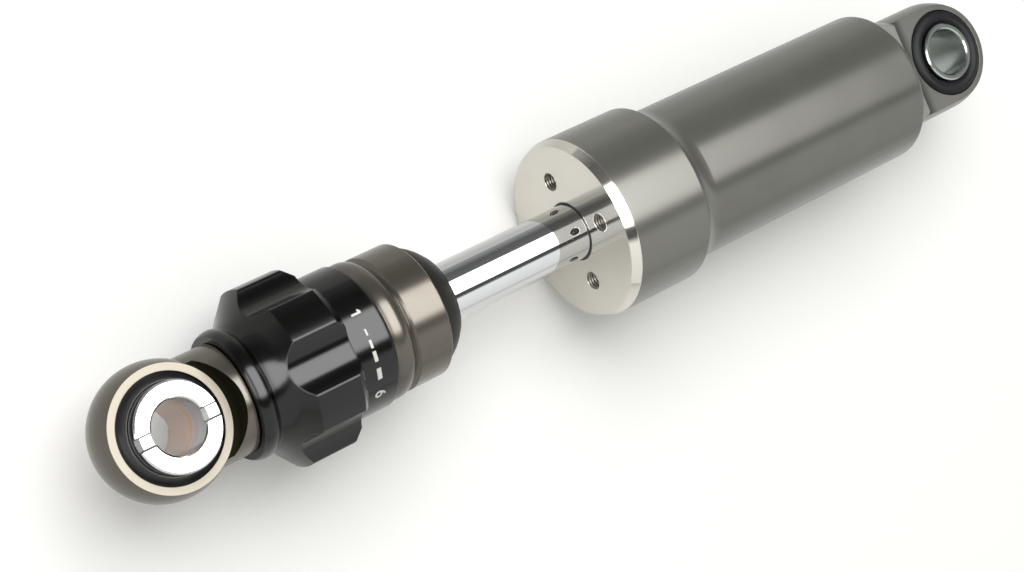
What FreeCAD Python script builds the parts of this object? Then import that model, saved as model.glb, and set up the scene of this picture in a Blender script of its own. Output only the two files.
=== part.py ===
import FreeCAD, Part
import math
import os

from FreeCAD import Vector

# Adjustable hydraulic damper with an eye at each end, in millimetres.
# X runs along the damper from the upper eye's centre, at the origin, to the lower eye.
# Z runs along both bolt bores, and Y completes the frame.

# Bolt bores
eye_to_eye = 205.5
bolt_bore_r = 5.25
sleeve_chamfer = 0.35

# Clearances
running = 0.04
slack = 0.3
seat = 0.05
snug = 0.01
groove_play = 0.6
cutter_over = 1.0

# Upper eye, milled from round stock with a domed end
upper_sleeve_wall = 1.3
upper_sleeve_length = 14.0
upper_rubber_wall = 3.32
upper_rubber_bulge = 0.7
upper_eye_wall = 2.68
upper_eye_width = 11.8
upper_flat_length = 11.9
upper_neck_step = 1.0
upper_neck_inset = 0.5
upper_neck_length = 19.3
spigot_r = 8.0

# Damper body
cylinder_r = 14.0
tube_wall = 2.8
tube_end_round = 1.3
end_wall = 4.7
body_length = 85.7
body_collar_rise = 2.5
body_collar_length = 18.6
body_collar_chamfer = 0.35
body_step_length = 5.1

# End cap, rod guide and seals
cap_ledge = 2.0
cap_flange_length = 2.15
cap_bevel = 0.85
cap_rim = 0.3
cap_spigot_length = 5.4
pin_hole_r = 1.95
pin_hole_circle_r = 10.98
pin_hole_depth = 3.0
pin_hole_count = 4
wiper_lip = 0.3
wiper_wall = 2.4
wiper_cover = 2.8
guide_flange_length = 2.5
guide_length = 7.0
bush_wall = 1.5
rod_seal_wall = 4.0
rod_seal_length = 4.4
ring_cord = 1.9

# Piston rod and what it carries
rod_r = 6.0
rod_bore_r = 2.5
stud_r = 4.0
orifice_r = 1.6
port_r = 0.9
plate_r = 9.5
plate_thickness = 1.5
bumper_length = 4.9
bumper_neck = 1.0
bumper_flare = 0.5
bumper_relief = 1.2
shim_thickness = 0.3
shim_radii = (11.0, 9.5, 8.0)
piston_length = 8.0
piston_gap = 0.3
band_width = 5.0
band_wall = 0.96
piston_port_r = 1.3
piston_port_circle_r = 7.0
piston_port_count = 6
washer_r = 7.0
washer_thickness = 1.0
nut_across_flats = 13.0
nut_length = 5.0
stud_end = 0.5

# Gas piston
gas_piston_length = 6.0
gas_piston_wall = 2.0
gas_room = 11.5

# Collar at the rod's outer end, with its stop ring
collar_length = 13.5
collar_r = 13.95
bead_rise = 1.2
bead_length = 5.1
groove_depth = 0.85
groove_length = 0.7
collar_chamfer = 0.35
joint_depth = 8.3
stop_ring_length = 5.4
stop_ring_inset = 0.9
stop_ring_taper = 3.5
stop_ring_bulge = 0.45

# Lower eye, turned as a ball and spot-faced on both sides
lower_sleeve_wall = 3.35
lower_sleeve_length = 20.0
sleeve_slot_width = 2.5
sleeve_slot_depth = 1.0
lower_rubber_wall = 1.95
lower_rubber_recess = 0.8
lower_rubber_rise = 2.0
ball_eye_wall = 2.75
ball_eye_width = 11.4
spot_face_gap = 0.1
spot_face_round = 0.95
lower_neck_length = 14.4
lower_neck_r = 11.1

# Adjuster knob
knob_gap = 0.2
skirt_length = 8.2
skirt_r = 14.7
flute_count = 6
flute_step = 0.4
flute_depth = 3.0
flute_cutter_r = 7.25
flute_edge_round = 0.7
grip_back_bevel_length = 1.8
grip_back_bevel_drop = 1.7
grip_length = 11.4
front_bevel_length = 2.2
front_bevel_drop = 2.8
cone_length = 3.2
cone_sag = 0.3
knob_ring_length = 3.6
knob_ring_rise = 0.6
knob_ring_overhang = 1.4

# Adjuster inside the knob
shank_r = 7.0
pin_r = 1.25
pin_inset = 0.6
pin_from_knob_front = 12.9
helix_lead = 8.0
slot_steps = 16
clicks_each_way = 3
detent_count = 32
detent_depth = 0.25
push_rod_gap = 0.3
needle_length = 31.95
needle_tip_r = 0.8
needle_tip_length = 6.0
needle_tip_reach = 2.5
needle_ring_cord = 1.0
needle_ring_from_joint = 8.0
knob_spigot_step = 1.2
knob_spigot_length = 4.6
knob_ring_cord = 1.4
rear_ring_inset = 3.0
ball_r = 1.2
ball_circle_r = 10.5
ball_rise = 0.45
ball_count = 2
first_ball_angle = 90
spring_wire_r = 0.2
spring_turns = 3
spring_length = 3.4

# Radii that follow from the sizes above
upper_sleeve_r = bolt_bore_r + upper_sleeve_wall
upper_bush_r = upper_sleeve_r + upper_rubber_wall
upper_eye_r = upper_bush_r + upper_eye_wall
lower_sleeve_r = bolt_bore_r + lower_sleeve_wall
lower_bush_r = lower_sleeve_r + lower_rubber_wall
ball_eye_r = lower_bush_r + ball_eye_wall
ball_flat_r = math.sqrt(ball_eye_r ** 2 - (ball_eye_width / 2) ** 2)
spot_face_r = ball_flat_r + spot_face_gap + spot_face_round
tube_r = cylinder_r + tube_wall
upper_neck_r = tube_r - tube_end_round - upper_neck_inset
body_collar_r = tube_r + body_collar_rise
step_rise = body_collar_rise - body_collar_chamfer - seat
step_curve_r = (body_step_length ** 2 + step_rise ** 2) / (2 * step_rise)
cap_thread_r = cylinder_r + cap_ledge
wiper_body_r = rod_r + wiper_wall
rod_seal_r = rod_r + rod_seal_wall
push_rod_r = rod_bore_r - push_rod_gap
shank_bore_r = rod_bore_r + 2 * seat
bumper_r = plate_r + bumper_flare
bead_root_r = collar_r - groove_depth
bead_r = bead_root_r + bead_rise
stop_ring_r = collar_r - stop_ring_inset
stop_ring_end_r = stop_ring_r - stop_ring_taper
flute_bottom_r = skirt_r + flute_step
grip_r = flute_bottom_r + flute_depth
grip_back_bevel_r = grip_r - grip_back_bevel_drop
cone_r = grip_r - front_bevel_drop
cone_root_r = lower_neck_r + knob_ring_overhang
knob_ring_r = cone_root_r + knob_ring_rise
knob_spigot_r = lower_neck_r - knob_spigot_step
pin_reach = knob_spigot_r - pin_inset

# Stations along the axis, in millimetres, with the knob's turn in degrees
body_end_x = upper_neck_length
cylinder_end_x = body_end_x + end_wall
cap_seat_x = body_end_x + body_length
cap_face_x = cap_seat_x + cap_flange_length
collar_step_x = cap_seat_x - body_collar_length
guide_top_x = cap_seat_x - cap_spigot_length
guide_step_x = guide_top_x - guide_flange_length
guide_end_x = guide_step_x - guide_length
shoulder_x = guide_end_x - slack - bumper_length
lower_eye_x = eye_to_eye
neck_end_x = lower_eye_x - lower_neck_length
knob_front_x = neck_end_x - knob_gap
ring_x = knob_front_x - knob_ring_length
cone_top_x = ring_x - cone_length
grip_front_x = cone_top_x - front_bevel_length
grip_back_x = grip_front_x - grip_length
knob_back_x = grip_back_x - skirt_length
collar_front_x = knob_back_x - slack
collar_back_x = collar_front_x - collar_length
stop_x = collar_back_x - stop_ring_length
rod_end_x = collar_front_x - joint_depth
pin_x = knob_front_x - pin_from_knob_front
knob_turn = clicks_each_way * 360 / detent_count
pin_travel = helix_lead * knob_turn / 360
front_ring_x = neck_end_x - knob_spigot_length / 2
rear_ring_x = knob_back_x + rear_ring_inset

AXIS = Vector(1, 0, 0)
BOLT = Vector(0, 0, 1)


def turned(corners):
    """Solid turned about X. A corner is (x, radius), or (mid x, mid radius, x, radius) for an arc."""
    points = [Vector(corner[-2], corner[-1], 0) for corner in corners]
    edges = []
    for i, corner in enumerate(corners):
        start = points[i - 1]
        end = points[i]
        if len(corner) == 4:
            middle = Vector(corner[0], corner[1], 0)
            edges.append(Part.Arc(start, middle, end).toShape())
        else:
            edges.append(Part.LineSegment(start, end).toShape())
    face = Part.Face(Part.Wire(edges))
    return face.revolve(Vector(), AXIS, 360)


def ring(start, end, inner, outer):
    """Plain ring about X."""
    return turned([(start, inner), (start, outer), (end, outer), (end, inner)])


def rod(start, end, radius):
    """Plain round bar about X."""
    return Part.makeCylinder(radius, end - start, Vector(start, 0, 0), AXIS)


def o_ring(x, inner, cord):
    """Round-section ring about X, seated on the radius inner."""
    return Part.makeTorus(inner + cord / 2, cord / 2, Vector(x, 0, 0), AXIS)


def on_bolt(shape, eye_x):
    """Stands a solid that was made about X on the bolt axis of an eye."""
    shape.rotate(Vector(), Vector(0, 1, 0), -90)
    shape.translate(Vector(eye_x, 0, 0))
    return shape


def bolt_hole(eye_x, radius):
    """Cutter for a hole right through an eye."""
    reach = 2 * max(upper_eye_r, ball_eye_r)
    return Part.makeCylinder(radius, 2 * reach, Vector(eye_x, 0, -reach), BOLT)


def around(shape, count, first=0):
    """Copies of a solid, evenly spaced about X."""
    copies = []
    for i in range(count):
        copy = shape.copy()
        copy.rotate(Vector(), AXIS, first + i * 360 / count)
        copies.append(copy)
    return copies


def make_sleeve(radius, length, eye_x):
    """Steel sleeve that the bolt passes through."""
    end = length / 2
    bevel = sleeve_chamfer
    outline = [
        (-end, bolt_bore_r + bevel),
        (-end, radius - bevel),
        (bevel - end, radius),
        (end - bevel, radius),
        (end, radius - bevel),
        (end, bolt_bore_r + bevel),
        (end - bevel, bolt_bore_r),
        (bevel - end, bolt_bore_r),
    ]
    return on_bolt(turned(outline), eye_x)


def make_lower_bush_sleeve():
    """Sleeve with a shallow slot across each end, in line with the damper."""
    sleeve = make_sleeve(lower_sleeve_r, lower_sleeve_length, lower_eye_x)
    reach = 2 * lower_sleeve_r
    for side in (1, -1):
        floor = side * (lower_sleeve_length / 2 - sleeve_slot_depth / 2)
        corner = Vector(-reach / 2, -sleeve_slot_width / 2, floor - sleeve_slot_depth / 2)
        slot = Part.makeBox(reach, sleeve_slot_width, sleeve_slot_depth, corner)
        slot.translate(Vector(lower_eye_x, 0, 0))
        sleeve = sleeve.cut(slot)
    return sleeve


def make_upper_bush_rubber():
    """Rubber ring with a raised bead on each face."""
    edge = upper_eye_width / 2
    inner = upper_sleeve_r + running
    outer = upper_bush_r - seat
    crown = (2 * outer + inner) / 3
    outline = [
        (-edge, inner),
        (-edge - upper_rubber_bulge, crown, -edge, outer),
        (edge, outer),
        (edge + upper_rubber_bulge, crown, edge, inner),
    ]
    return on_bolt(turned(outline), 0)


def make_lower_bush_rubber():
    """Rubber ring that rises in a cone to the sleeve."""
    edge = ball_eye_width / 2 - lower_rubber_recess
    top = edge + lower_rubber_rise
    inner = lower_sleeve_r + running
    outer = lower_bush_r - seat
    outline = [(-top, inner), (-edge, outer), (edge, outer), (top, inner)]
    return on_bolt(turned(outline), lower_eye_x)


def make_upper_eye():
    """Domed lug with milled flats, a flared neck whose flats stand a step higher, and a threaded spigot."""
    outline = [
        (-upper_eye_r, 0),
        (-upper_eye_r * math.sqrt(0.5), upper_eye_r * math.sqrt(0.5), 0, upper_eye_r),
        (upper_flat_length, upper_eye_r),
        (body_end_x, upper_neck_r),
        (body_end_x, spigot_r),
        (cylinder_end_x, spigot_r),
        (cylinder_end_x, 0),
    ]
    eye = turned(outline)
    reach = 4 * upper_eye_r
    flats = ((upper_flat_length, upper_eye_width), (body_end_x, upper_eye_width + 2 * upper_neck_step))
    for end_x, width in flats:
        for side in (1, -1):
            middle = side * (width / 2 + upper_eye_r)
            corner = Vector(end_x - reach, -reach / 2, middle - upper_eye_r)
            eye = eye.cut(Part.makeBox(reach, reach, 2 * upper_eye_r, corner))
    return eye.cut(bolt_hole(0, upper_bush_r))


def make_damper_body():
    """Tube with a closed end, a large collar at the mouth and a concave step between them."""
    round_mid = tube_end_round * (1 - math.sqrt(0.5))
    half_turn = math.asin(body_step_length / step_curve_r) / 2
    step_end_x = collar_step_x - body_step_length
    step_mid_x = step_end_x + step_curve_r * math.sin(half_turn)
    step_mid_r = tube_r + step_curve_r * (1 - math.cos(half_turn))
    bevel = body_collar_chamfer
    outline = [
        (cylinder_end_x, spigot_r + seat),
        (cylinder_end_x, cylinder_r),
        (guide_step_x, cylinder_r),
        (guide_step_x, cap_thread_r),
        (cap_seat_x, cap_thread_r),
        (cap_seat_x, body_collar_r),
        (collar_step_x + bevel, body_collar_r),
        (collar_step_x, body_collar_r - bevel),
        (collar_step_x, tube_r + step_rise),
        (step_mid_x, step_mid_r, step_end_x, tube_r),
        (body_end_x + tube_end_round, tube_r),
        (body_end_x + round_mid, tube_r - round_mid, body_end_x, tube_r - tube_end_round),
        (body_end_x, spigot_r + seat),
    ]
    return turned(outline)


def make_end_cap():
    """Screwed cap with a bevelled flange and pin-spanner holes."""
    lip_r = rod_r + running + wiper_lip + seat
    pocket_x = cap_face_x - wiper_cover
    outline = [
        (guide_top_x, wiper_body_r),
        (guide_top_x, cap_thread_r - seat),
        (cap_seat_x, cap_thread_r - seat),
        (cap_seat_x, body_collar_r),
        (cap_seat_x + cap_rim, body_collar_r),
        (cap_face_x, body_collar_r - cap_bevel),
        (cap_face_x, lip_r),
        (pocket_x, lip_r),
        (pocket_x, wiper_body_r),
    ]
    hole = rod(cap_face_x - pin_hole_depth, cap_face_x + pin_hole_depth, pin_hole_r)
    hole.translate(Vector(0, 0, pin_hole_circle_r))
    return turned(outline).cut(Part.makeCompound(around(hole, pin_hole_count)))


def make_wiper_seal():
    """Wiper with a thin lip that shows in the cap's face."""
    inner = rod_r + running
    pocket_x = cap_face_x - wiper_cover - seat
    outline = [
        (guide_top_x + seat, inner),
        (guide_top_x + seat, wiper_body_r - seat),
        (pocket_x, wiper_body_r - seat),
        (pocket_x, inner + wiper_lip),
        (cap_face_x, inner + wiper_lip),
        (cap_face_x, inner),
    ]
    return turned(outline)


def make_rod_guide():
    """Guide that holds the bush, the oil seal and its own O-ring groove."""
    bush_r = rod_r + running + bush_wall + seat
    seal_x = guide_top_x - rod_seal_length
    groove_x = guide_end_x + guide_length / 2
    half = ring_cord * groove_play
    groove_r = cylinder_r - ring_cord
    body_r = cylinder_r - seat
    outline = [
        (guide_end_x, bush_r),
        (guide_end_x, body_r),
        (groove_x - half, body_r),
        (groove_x - half, groove_r),
        (groove_x + half, groove_r),
        (groove_x + half, body_r),
        (guide_step_x + seat, body_r),
        (guide_step_x + seat, cap_thread_r - 2 * seat),
        (guide_top_x - seat, cap_thread_r - 2 * seat),
        (guide_top_x - seat, rod_seal_r),
        (seal_x, rod_seal_r),
        (seal_x, bush_r),
    ]
    return turned(outline)


def make_guide_bush():
    """Plain bush that the rod runs in."""
    inner = rod_r + running
    return ring(guide_end_x + seat, guide_top_x - rod_seal_length, inner, inner + bush_wall)


def make_rod_seal():
    """Oil seal behind the wiper."""
    return ring(guide_top_x - rod_seal_length + seat, guide_top_x - seat, rod_r + running, rod_seal_r - seat)


def make_guide_o_ring():
    """O-ring between the guide and the cylinder."""
    groove_r = cylinder_r - ring_cord
    return o_ring(guide_end_x + guide_length / 2, groove_r + seat / 2, ring_cord - 2 * seat)


def stack_stations():
    """Faces of the pieces on the rod's stud, from the shoulder inwards."""
    plate_x = shoulder_x - plate_thickness
    piston_top_x = plate_x - shim_thickness * len(shim_radii)
    piston_end_x = piston_top_x - piston_length
    washer_top_x = piston_end_x - shim_thickness * len(shim_radii)
    nut_top_x = washer_top_x - washer_thickness
    return plate_x, piston_top_x, piston_end_x, washer_top_x, nut_top_x


def make_piston_rod():
    """Hollow rod with a stud for the piston, an orifice and a cross port."""
    stud_x = stack_stations()[-1] - nut_length - stud_end
    seat_x = needle_seat_x()
    outline = [
        (stud_x, orifice_r),
        (stud_x, stud_r),
        (shoulder_x, stud_r),
        (shoulder_x, rod_r),
        (rod_end_x, rod_r),
        (rod_end_x, rod_bore_r),
        (seat_x, rod_bore_r),
        (seat_x, orifice_r),
    ]
    reach = 2 * rod_r
    port_x = shoulder_x + bumper_length / 2
    port = Part.makeCylinder(port_r, 2 * reach, Vector(port_x, 0, -reach), BOLT)
    return turned(outline).cut(port)


def make_top_out_plate():
    """Washer between the rod's shoulder and the shims."""
    return ring(shoulder_x - plate_thickness, shoulder_x, stud_r + seat, plate_r)


def make_top_out_bumper():
    """Rubber bumper that meets the guide at full length, relieved inside for the oil."""
    relief_r = rod_r + bumper_relief
    outline = [
        (shoulder_x, rod_r + seat),
        (shoulder_x, plate_r - seat),
        (shoulder_x + bumper_neck, bumper_r),
        (shoulder_x + bumper_length, bumper_r),
        (shoulder_x + bumper_length, relief_r),
        (shoulder_x + bumper_neck, relief_r),
        (shoulder_x + bumper_neck, rod_r + seat),
    ]
    width = 2 * port_r
    corner = Vector(shoulder_x + bumper_length / 2 - port_r, -width / 2, -bumper_r)
    notch = Part.makeBox(bumper_length, width, 2 * bumper_r, corner)
    return turned(outline).cut(notch)


def make_shims(first_x, towards):
    """Stack of thin discs, the largest against the piston."""
    discs = []
    for i, radius in enumerate(shim_radii):
        near = first_x + towards * i * shim_thickness
        far = near + towards * shim_thickness
        discs.append(ring(min(near, far), max(near, far), stud_r + seat, radius))
    return Part.makeCompound(discs)


def make_piston():
    """Piston with a groove for its band and a circle of ports."""
    top_x, end_x = stack_stations()[1:3]
    middle = (top_x + end_x) / 2
    half = band_width / 2 + seat
    piston_r = cylinder_r - piston_gap
    groove_r = cylinder_r - running - band_wall - running
    outline = [
        (end_x, stud_r + seat),
        (end_x, piston_r),
        (middle - half, piston_r),
        (middle - half, groove_r),
        (middle + half, groove_r),
        (middle + half, piston_r),
        (top_x, piston_r),
        (top_x, stud_r + seat),
    ]
    port = rod(end_x - cutter_over, top_x + cutter_over, piston_port_r)
    port.translate(Vector(0, piston_port_circle_r, 0))
    return turned(outline).cut(Part.makeCompound(around(port, piston_port_count)))


def make_piston_band():
    """Low-friction band in the piston's groove."""
    top_x, end_x = stack_stations()[1:3]
    middle = (top_x + end_x) / 2
    outer = cylinder_r - running
    return ring(middle - band_width / 2, middle + band_width / 2, outer - band_wall, outer)


def make_support_washer():
    """Washer between the rebound shims and the nut."""
    washer_top_x = stack_stations()[3]
    return ring(washer_top_x - washer_thickness, washer_top_x, stud_r + seat, washer_r)


def make_piston_nut():
    """Hexagon nut on the stud."""
    nut_top_x = stack_stations()[-1]
    corner_r = nut_across_flats / math.sqrt(3)
    sides = 6
    points = []
    for i in range(sides + 1):
        angle = math.radians(i * 360 / sides)
        points.append(Vector(nut_top_x - nut_length, corner_r * math.cos(angle), corner_r * math.sin(angle)))
    prism = Part.Face(Part.makePolygon(points)).extrude(Vector(nut_length, 0, 0))
    return prism.cut(rod(nut_top_x - 2 * nut_length, nut_top_x + nut_length, stud_r + seat))


def gas_piston_x():
    """Face of the gas piston on the gas side."""
    return cylinder_end_x + gas_room


def make_gas_piston():
    """Piston between the oil and the gas, hollow so that it makes room for the rod's end."""
    start = gas_piston_x()
    end = start + gas_piston_length
    middle = (start + end) / 2
    half = ring_cord * groove_play
    outer = cylinder_r - running
    groove_r = cylinder_r - ring_cord
    outline = [
        (start, 0),
        (start, outer),
        (middle - half, outer),
        (middle - half, groove_r),
        (middle + half, groove_r),
        (middle + half, outer),
        (end, outer),
        (end, groove_r - gas_piston_wall),
        (start + gas_piston_wall, groove_r - gas_piston_wall),
        (start + gas_piston_wall, 0),
    ]
    return turned(outline)


def make_gas_piston_o_ring():
    """O-ring of the gas piston."""
    groove_r = cylinder_r - ring_cord
    return o_ring(gas_piston_x() + gas_piston_length / 2, groove_r + seat / 2, ring_cord - 2 * seat)


def make_rod_collar():
    """Collar that joins the rod to the eye's shank, with a bead, a groove and a chamfered end."""
    bead_end_x = collar_front_x - bead_length
    groove_x = bead_end_x - groove_length
    outline = [
        (collar_back_x, rod_r + seat),
        (collar_back_x, collar_r - collar_chamfer),
        (collar_back_x + collar_chamfer, collar_r),
        (groove_x, collar_r),
        (bead_end_x, bead_root_r),
        (collar_front_x - bead_length / 2, bead_r, collar_front_x, bead_root_r),
        (collar_front_x, shank_r + seat),
        (rod_end_x, shank_r + seat),
        (rod_end_x, rod_r + seat),
    ]
    pocket = ball_rise + slack + spring_length + ball_r
    hole = rod(collar_front_x - pocket, collar_front_x + cutter_over, ball_r + seat)
    hole.translate(Vector(0, 0, ball_circle_r))
    return turned(outline).cut(Part.makeCompound(around(hole, ball_count, first_ball_angle)))


def make_stop_ring():
    """Rounded cone that meets the end cap when the damper is fully closed."""
    middle_x = (stop_x + collar_back_x) / 2
    middle_r = (stop_ring_end_r + stop_ring_r) / 2 + stop_ring_bulge
    outline = [
        (stop_x, rod_r + seat),
        (stop_x, stop_ring_end_r - slack),
        (stop_x + slack / 3, stop_ring_end_r - slack / 3, stop_x + slack, stop_ring_end_r),
        (middle_x, middle_r, collar_back_x, stop_ring_r),
        (collar_back_x, rod_r + seat),
    ]
    return turned(outline)


def fillet_points(lobe_r, flute_r, flute_x, edge_r):
    """Tangent points and middle of the round between a lobe and a flute centred on (flute_x, 0)."""
    from_axis = lobe_r - edge_r
    from_flute = flute_r + edge_r
    x = (from_axis ** 2 - from_flute ** 2 + flute_x ** 2) / (2 * flute_x)
    y = math.sqrt(from_axis ** 2 - x ** 2)
    on_lobe = (x * lobe_r / from_axis, y * lobe_r / from_axis)
    share = flute_r / from_flute
    on_flute = (flute_x + (x - flute_x) * share, y * share)
    mid_x = (on_lobe[0] + on_flute[0]) / 2 - x
    mid_y = (on_lobe[1] + on_flute[1]) / 2 - y
    scale = edge_r / math.hypot(mid_x, mid_y)
    middle = (x + mid_x * scale, y + mid_y * scale)
    return on_flute, middle, on_lobe


def make_lobed_bar(start, end):
    """Bar with the grip's section: lobes with rounded edges between concave flutes."""
    flute_x = flute_bottom_r + flute_cutter_r
    on_flute, middle, on_lobe = fillet_points(grip_r, flute_cutter_r, flute_x, flute_edge_round)

    def place(point, mirror, turn):
        angle = math.atan2(point[1] * mirror, point[0]) + turn
        radius = math.hypot(point[0], point[1])
        return Vector(start, -radius * math.sin(angle), radius * math.cos(angle))

    pitch = 2 * math.pi / flute_count
    edges = []
    for i in range(flute_count):
        turn = i * pitch
        before = place(on_flute, -1, turn)
        bottom = place((flute_bottom_r, 0), 1, turn)
        after = place(on_flute, 1, turn)
        crest = place(on_lobe, 1, turn)
        top = place((grip_r, 0), 1, turn + pitch / 2)
        next_crest = place(on_lobe, -1, turn + pitch)
        next_flute = place(on_flute, -1, turn + pitch)
        edges.append(Part.Arc(before, bottom, after).toShape())
        edges.append(Part.Arc(after, place(middle, 1, turn), crest).toShape())
        edges.append(Part.Arc(crest, top, next_crest).toShape())
        edges.append(Part.Arc(next_crest, place(middle, -1, turn + pitch), next_flute).toShape())
    return Part.Face(Part.Wire(edges)).extrude(Vector(end - start, 0, 0))


def make_adjuster_knob():
    """Knob with a ring, a cone, a fluted grip, a smooth skirt and two keyways for the cross pin."""
    ring_mid_x = (ring_x + knob_front_x) / 2
    bore_r = shank_r + seat
    recess_r = knob_spigot_r + seat
    recess_x = neck_end_x - knob_spigot_length - slack
    outline = [
        (knob_back_x, bore_r),
        (knob_back_x, skirt_r),
        (grip_back_x, skirt_r),
        (grip_back_x, grip_back_bevel_r),
        (grip_back_x + grip_back_bevel_length, grip_r),
        (grip_front_x, grip_r),
        (cone_top_x, cone_r),
        ((cone_top_x + ring_x) / 2, (cone_r + cone_root_r) / 2 - cone_sag, ring_x, cone_root_r),
        (ring_mid_x, knob_ring_r, knob_front_x, cone_root_r),
        (knob_front_x, recess_r),
        (recess_x, recess_r),
        (recess_x, bore_r),
    ]
    knob = turned(outline).common(make_lobed_bar(knob_back_x - cutter_over, knob_front_x + cutter_over))
    keyway_x = pin_x - pin_travel - pin_r - slack
    reach = pin_reach + slack
    half = pin_r + 2 * seat
    keyway = Part.makeBox(knob_front_x - keyway_x, 2 * reach, 2 * half, Vector(keyway_x, -reach, -half))
    track_depth = ball_rise - slack + seat
    track_x = knob_back_x + track_depth
    track = ring(knob_back_x - cutter_over, track_x, ball_circle_r - ball_r, ball_circle_r + ball_r)
    dimple = Part.makeSphere(ball_r, Vector(track_x + detent_depth - ball_r, 0, ball_circle_r))
    dimples = Part.makeCompound(around(dimple, detent_count))
    return knob.cut(keyway).cut(track).cut(dimples)


def spot_cutter(side):
    """Cutter with a rounded corner that faces one side of the ball eye."""
    face = side * ball_eye_width / 2
    reach = side * 2 * ball_eye_r
    inset = spot_face_round * (1 - math.sqrt(0.5))
    outline = [
        (face, 0),
        (face, spot_face_r - spot_face_round),
        (face + side * inset, spot_face_r - inset, face + side * spot_face_round, spot_face_r),
        (reach, spot_face_r),
        (reach, 0),
    ]
    return on_bolt(turned(outline), lower_eye_x)


def make_lower_eye():
    """Ball eye with spot-faced sides, a round neck, a spigot and the shank that carries the knob."""
    ball = Part.makeSphere(ball_eye_r, Vector(lower_eye_x, 0, 0))
    eye = ball.fuse(rod(neck_end_x, lower_eye_x, lower_neck_r))
    eye = eye.fuse(rod(neck_end_x - knob_spigot_length, lower_eye_x - lower_bush_r, knob_spigot_r))
    eye = eye.fuse(rod(rod_end_x + seat, lower_eye_x - lower_bush_r, shank_r))
    for side in (1, -1):
        eye = eye.cut(spot_cutter(side))
    eye = eye.cut(bolt_hole(lower_eye_x, lower_bush_r))
    bore_end_x = pin_x + pin_travel + 2 * pin_r + slack
    eye = eye.cut(rod(rod_end_x - cutter_over, bore_end_x, shank_bore_r))
    half = knob_ring_cord * groove_play
    for x, seat_r in ((front_ring_x, knob_spigot_r), (rear_ring_x, shank_r)):
        eye = eye.cut(ring(x - half, x + half, seat_r - knob_ring_cord, seat_r + cutter_over))
    return eye.cut(make_helical_slot()).removeSplitter()


def make_knob_o_ring(x, seat_r):
    """O-ring under the knob, which keeps dirt and oil out of the adjuster."""
    return o_ring(x, seat_r - knob_ring_cord + seat / 2, knob_ring_cord - seat / 2)


def pin_bar(radius, reach, angle):
    """Bar across the shank where the pin stands when the knob is turned by an angle in degrees."""
    bar = Part.makeCylinder(radius, 2 * reach, Vector(pin_x, -reach, 0), Vector(0, 1, 0))
    bar.rotate(Vector(), AXIS, angle)
    bar.translate(Vector(helix_lead * angle / 360, 0, 0))
    return bar


def make_helical_slot():
    """Cutter for the slot that drives the pin along the shank as the knob turns it."""
    slot_r = pin_r + 2 * seat
    reach = shank_r + cutter_over
    slot = pin_bar(slot_r, reach, -knob_turn)
    for i in range(1, slot_steps + 1):
        angle = knob_turn * (2 * i / slot_steps - 1)
        slot = slot.fuse(pin_bar(slot_r, reach, angle))
    return slot


def make_adjuster_pin():
    """Cross pin: the knob's keyways turn it and the shank's slot moves it along."""
    return pin_bar(pin_r, pin_reach, 0)


def needle_joint_x():
    """Face where the push rod meets the needle."""
    return needle_parts()[0] + needle_length


def make_push_rod():
    """Rod from the cross pin to the needle."""
    bar = rod(needle_joint_x(), pin_x + 2 * pin_r, push_rod_r)
    return bar.cut(pin_bar(pin_r + snug, shank_r, 0))


def needle_seat_x():
    """Edge of the orifice inside the rod, just past the needle's closed end of travel."""
    return stack_stations()[1] - needle_tip_reach


def needle_parts():
    """Start of the tip and of the straight part, clear of the orifice at the closed end of travel."""
    tip_x = needle_seat_x() + pin_travel - needle_tip_reach + slack
    return tip_x, tip_x + needle_tip_length


def make_metering_needle():
    """Needle with a tapered tip and a groove for its O-ring."""
    tip_x, straight_x = needle_parts()
    joint_x = needle_joint_x()
    ring_x = joint_x - needle_ring_from_joint
    half = needle_ring_cord * groove_play
    groove_r = rod_bore_r - needle_ring_cord
    outline = [
        (tip_x, 0),
        (tip_x, needle_tip_r),
        (straight_x, push_rod_r),
        (ring_x - half, push_rod_r),
        (ring_x - half, groove_r),
        (ring_x + half, groove_r),
        (ring_x + half, push_rod_r),
        (joint_x, push_rod_r),
        (joint_x, 0),
    ]
    return turned(outline)


def make_needle_o_ring():
    """O-ring of the needle."""
    x = needle_joint_x() - needle_ring_from_joint
    return o_ring(x, rod_bore_r - needle_ring_cord + snug, needle_ring_cord - seat)


def make_detent_balls():
    """Balls that click into the dimples of the knob's end face."""
    ball = Part.makeSphere(ball_r, Vector(knob_back_x + ball_rise - slack - ball_r, 0, ball_circle_r))
    return Part.makeCompound(around(ball, ball_count, first_ball_angle))


def make_detent_springs():
    """Coil springs behind the balls, each one unbroken wire."""
    coil_r = ball_r - spring_wire_r - 2 * seat
    pitch = (spring_length - 2 * spring_wire_r) / spring_turns
    ball_back_x = knob_back_x + ball_rise - slack - 2 * ball_r
    path = Part.makeHelix(pitch, pitch * spring_turns, coil_r)
    section = Part.Wire(Part.makeCircle(spring_wire_r, Vector(coil_r, 0, 0), Vector(0, 1, 0)))
    coil = Part.Wire(path).makePipeShell([section], True, False)
    coil.rotate(Vector(), Vector(0, 1, 0), -90)
    coil.translate(Vector(ball_back_x - spring_wire_r, 0, ball_circle_r))
    print("detent spring: gap between turns", round(pitch - 2 * spring_wire_r, 3), "mm")
    return Part.makeCompound(around(coil, ball_count, first_ball_angle))


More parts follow.
